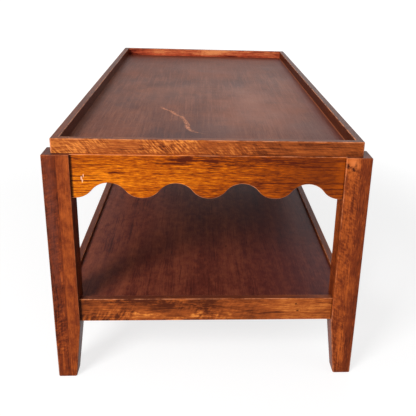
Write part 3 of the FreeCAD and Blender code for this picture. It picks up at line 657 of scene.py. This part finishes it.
# Darker patches in its stain, and lighter greyish patches that are partly stain and partly painted sheen:
# middle, size, tone, amount and spots per metre in the edge
TRAY_BLOTS_AND_SHEEN = [
    ((-0.02, -0.48, TRAY_FLOOR), (0.12, 0.15, 0.1), tone(66, 34, 32), 0.6, STAIN_EDGE),
    ((-0.12, -0.28, TRAY_FLOOR), (0.04, 0.11, 0.1), tone(66, 34, 32), 0.3, STAIN_EDGE),
    ((0.22, -0.44, TRAY_FLOOR), (0.07, 0.2, 0.1), tone(72, 36, 34), 0.5, STAIN_EDGE),
    # lighter greyish patches, partly stain and partly painted sheen
    ((0.11, -0.16, TRAY_FLOOR), (0.08, 0.26, 0.1), tone(160, 104, 84), 0.55, STAIN_EDGE),
    ((-0.1, -0.04, TRAY_FLOOR), (0.12, 0.14, 0.1), tone(150, 98, 79), 0.4, STAIN_EDGE),
]

# Scuff on the tray floor: its two ends, and points between them as shares of its length and its way across
SCUFF_START = (-0.1085, -0.2427)
SCUFF_END = (-0.0244, -0.462)
SCUFF_POINTS = [
    (0.09, 0.125),
    (0.18, 0.3),
    (0.33, 0.45),
    (0.39, 0.565),
    (0.51, 0.65),
    (0.67, 0.74),
    (0.82, 0.77),
    (0.95, 0.88),
]
# Shares of its length over which its ends fade, and distances from its middle over which its sides do
SCUFF_FIRST_END = (-0.06, 0.06)
SCUFF_LAST_END = (1.08, 0.94)
SCUFF_SIDES = (0.0065, 0.0015)
SCUFF_WOBBLE = 0.012
SCUFF_COVER = 0.8


def scuff(timber):
    """Scratches a ragged pale line into the tray floor."""
    length = SCUFF_END[Y] - SCUFF_START[Y]
    width = SCUFF_END[X] - SCUFF_START[X]
    share = timber.maths("DIVIDE", timber.maths("SUBTRACT", timber.place[Y], SCUFF_START[Y]), length)
    path = timber.add("ShaderNodeFloatCurve", {"Value": share})
    for point in SCUFF_POINTS:
        path.mapping.curves[0].points.new(*point)
    path.mapping.update()
    middle = timber.maths("MULTIPLY_ADD", path.outputs[0], width, SCUFF_START[X])
    wobble = timber.swing(timber.pattern("scuff_wobble", timber.spot))
    middle = timber.maths("MULTIPLY_ADD", wobble, SCUFF_WOBBLE, middle)
    off = timber.maths("ABSOLUTE", timber.maths("SUBTRACT", timber.place[X], middle))
    first, last = timber.fade(share, *SCUFF_FIRST_END), timber.fade(share, *SCUFF_LAST_END)
    broken = timber.pattern("scuff_breaks", timber.spot)
    broken = timber.maths("MULTIPLY", timber.maths("MULTIPLY", first, last), broken)
    pale = timber.maths("MULTIPLY", timber.fade(off, *SCUFF_SIDES), broken)
    timber.cover(timber.maths("MULTIPLY", pale, SCUFF_COVER), SCUFFED)


def finish_tray_panel():
    """Finishes the tray floor: cloudy rubbed stain, painted wall reflections, highlights and sheen, and a
    scuff.
    """
    timber = wood("tray_panel_wood", *TRAY_WOOD, **TRAY_WAYS)
    for pattern, *way in TRAY_CLOUDS:
        timber.tint(timber.pattern(pattern, timber.spot), *way)
    for axis, *way in TRAY_TONES_AND_REFLECTIONS:
        timber.tint(timber.place[axis], *way)
    # painted highlight along the foot of the right and rear walls
    right = timber.fade(timber.place[X], *[TRAY_RIGHT_WALL - gap for gap in RIGHT_LINE])
    rear = timber.fade(timber.place[Y], *[TRAY_REAR_WALL - gap for gap in REAR_LINE])
    lines = timber.maths("MAXIMUM", right, rear)
    timber.cover(timber.maths("MULTIPLY", lines, PAINTED_WALL_HIGHLIGHT_COVER), PAINTED_WALL_HIGHLIGHT)
    for blot in TRAY_BLOTS_AND_SHEEN:
        timber.blot(*blot)
    scuff(timber)
    return timber.lacquer(*TRAY_LACQUER)


# Shelf: grain axis, shift of its pattern, stain and the ways in which its wood differs
SHELF_WOOD = (Y, (13.4, 0.1, -0.05), SHELF_STAIN)
SHELF_WAYS = {
    "cloud": 0.9, "band": 0.7, "line": 0.3, "dash": 0.6, "lift": 0.06, "mottle": 0.9,
    "knots": [((0.0464, -0.3438, SHELF_FLOOR), (0.004, 0.004, SHALLOW))],
    # painted light on its left side
    "slopes": [(X, 0.0, -0.24, 0.12)],
}
# Painted shadow on its right side, purplish: start and end along X, amount and tone
SHELF_PAINTED_SHADOW = (0.0, 0.2, 0.45, tone(72, 30, 36))


def finish_shelf_panel():
    """Finishes the shelf: mottled stain, painted light to the left and a purplish painted shadow to the
    right, and a knot.
    """
    timber = wood("shelf_panel_wood", *SHELF_WOOD, **SHELF_WAYS)
    # painted shadow on its right side
    timber.tint(timber.place[X], *SHELF_PAINTED_SHADOW)
    return timber.lacquer(*SHELF_LACQUER)


# Zinc on the screws: values of its noise for the dark and the light tone, roughness there, and its relief
ZINC_LEVELS = (0.3, 0.7)
ZINC_ROUGHNESS = (0.34, 0.5)
ZINC_RELIEF = (0.15, 0.0003)


def zinc_plated_steel():
    """Makes dull zinc-plated steel for the screws."""
    shader = Shader("zinc_plated_steel")
    cloud = shader.pattern("zinc", shader.add("ShaderNodeTexCoord", {}).outputs["Object"])
    colour = shader.ramp(cloud, ZINC_LEVELS, ZINC)
    rough = shader.fade(cloud, *ZINC_LEVELS, *ZINC_ROUGHNESS)
    relief = shader.bump(cloud, *ZINC_RELIEF)
    shader.principled(Base_Color=colour, Roughness=rough, Metallic=1.0, Normal=relief)
    return shader.material


def finish_node(node, material):
    """Gives every slot of a CAD node the material."""
    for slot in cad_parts[node].material_slots:
        slot.material = material


for node, (grain, shift, tones, ways) in WOODS.items():
    finish_node(node, wood(f"{node}_wood", grain, shift, tones, **ways).lacquer(*RAIL_LACQUER))
finish_node("tray_panel", finish_tray_panel())
finish_node("shelf_panel", finish_shelf_panel())
finish_node("corner_brace_screws", zinc_plated_steel())

WHITE = (1, 1, 1, 1)
# Floor: span in metres, and its paint
FLOOR_SPAN = 80
FLOOR_PAINT = tone(250, 250, 250)
FLOOR_ROUGHNESS = 0.9
FLOOR_SHINE = 0.1
# Its fade to plain white: distances from the table's middle, share of white there, and the white's strength
FLOOR_FADE = (0.7, 1.8)
FLOOR_WHITE = (0.68, 1.0)
FLOOR_GLOW = 1.12


def make_floor():
    """Lays a wide pale floor, which the camera and reflections see fade to plain white."""
    bpy.ops.object.select_all(action="DESELECT")
    bpy.ops.mesh.primitive_plane_add(size=FLOOR_SPAN)
    floor = bpy.context.object
    floor.name = "studio_floor"
    shader = Shader("studio_floor_paint")
    spot = shader.add("ShaderNodeTexCoord", {}).outputs["Object"]
    paths = shader.add("ShaderNodeLightPath", {}).outputs
    mirrored = shader.maths("MAXIMUM", paths["Is Glossy Ray"], paths["Is Transmission Ray"])
    seen = shader.maths("MAXIMUM", paths["Is Camera Ray"], mirrored)
    white = shader.fade(shader.length(spot), *FLOOR_FADE, *FLOOR_WHITE)
    share = shader.maths("MULTIPLY", white, seen)
    glow = shader.add("ShaderNodeEmission", {"Color": WHITE, "Strength": FLOOR_GLOW}).outputs[0]
    shader.principled(Base_Color=FLOOR_PAINT, Roughness=FLOOR_ROUGHNESS, Specular_IOR_Level=FLOOR_SHINE)
    sockets = {0: share, 1: shader.surface.outputs[0], 2: glow}
    mixed = shader.add("ShaderNodeMixShader", sockets).outputs[0]
    shader.tree.links.new(mixed, shader.tree.nodes["Material Output"].inputs["Surface"])
    floor.data.materials.append(shader.material)


# Strength of the room's even light
ROOM_LIGHT = 0.36


def make_room():
    """Lights the room evenly, and shows it as white to the camera and in reflections."""
    world = bpy.data.worlds.new("studio")
    bpy.context.scene.world = world
    world.use_nodes = True
    tree = world.node_tree
    paths = tree.nodes.new("ShaderNodeLightPath").outputs
    seen = paths["Is Camera Ray"]
    for kind in ("Is Glossy Ray", "Is Transmission Ray"):
        either = tree.nodes.new("ShaderNodeMath")
        either.operation = "MAXIMUM"
        tree.links.new(seen, either.inputs[0])
        tree.links.new(paths[kind], either.inputs[1])
        seen = either.outputs[0]
    level = tree.nodes.new("ShaderNodeMapRange")
    level.inputs["To Min"].default_value = ROOM_LIGHT
    level.inputs["To Max"].default_value = 1.0
    tree.links.new(seen, level.inputs["Value"])
    tree.links.new(level.outputs[0], tree.nodes["Background"].inputs["Strength"])
    tree.nodes["Background"].inputs["Color"].default_value = WHITE


# Square soft lamps: place, spot that each points at, width in metres and power in watts
LAMPS = {
    "key_softbox": ((-1.8, -2.8, 2.2), (0, -0.2, 0.35), 1.2, 108),
    "fill_softbox": ((2.6, -1.8, 1.6), (0, 0, 0.3), 2.0, 8),
    "back_softbox": ((0.8, 3.0, 2.4), (0, 0, 0.4), 2.0, 14),
}


def hang_lamp(name, place, aim, width, power):
    """Hangs a square soft lamp that points at a spot."""
    lamp = bpy.data.lights.new(name, "AREA")
    lamp.size = width
    lamp.energy = power
    holder = bpy.data.objects.new(name, lamp)
    bpy.context.scene.collection.objects.link(holder)
    holder.location = place
    holder.rotation_euler = (Vector(aim) - Vector(place)).to_track_quat("-Z", "Y").to_euler()


# Camera at the photo's viewing angle: place in metres, and turns in radians
CAMERA_PLACE = (-0.0214, -1.6752, 0.8185)
CAMERA_YAW = 0.0744
CAMERA_PITCH = 0.3549
CAMERA_ROLL = 0.0337
# Focal length and the pixel that the lens looks at, in a square picture of so many pixels
PICTURE_PIXELS = 416
FOCAL_PIXELS = 609.6
AXIS_PIXEL = (240.56, 186.36)


def make_camera():
    """Stands the camera where the photo was taken, turned and shifted to give the same picture."""
    data = bpy.data.cameras.new("camera")
    camera = bpy.data.objects.new("camera", data)
    bpy.context.scene.collection.objects.link(camera)
    bpy.context.scene.camera = camera
    data.lens = data.sensor_width * FOCAL_PIXELS / PICTURE_PIXELS
    data.shift_x = 0.5 - AXIS_PIXEL[X] / PICTURE_PIXELS
    data.shift_y = AXIS_PIXEL[Y] / PICTURE_PIXELS - 0.5
    level = math.cos(CAMERA_PITCH)
    forward = (math.sin(CAMERA_YAW) * level, math.cos(CAMERA_YAW) * level, -math.sin(CAMERA_PITCH))
    forward = Vector(forward)
    across = Vector((math.cos(CAMERA_YAW), -math.sin(CAMERA_YAW), 0))
    upward = across.cross(forward)
    right = math.cos(CAMERA_ROLL) * across + math.sin(CAMERA_ROLL) * upward
    up = math.cos(CAMERA_ROLL) * upward - math.sin(CAMERA_ROLL) * across
    turn = Matrix((right, up, -forward)).transposed()
    camera.matrix_world = Matrix.Translation(CAMERA_PLACE) @ turn.to_4x4()


make_floor()
make_room()
for name, lamp in LAMPS.items():
    hang_lamp(name, *lamp)
make_camera()
bpy.context.scene.view_settings.view_transform = "Standard"
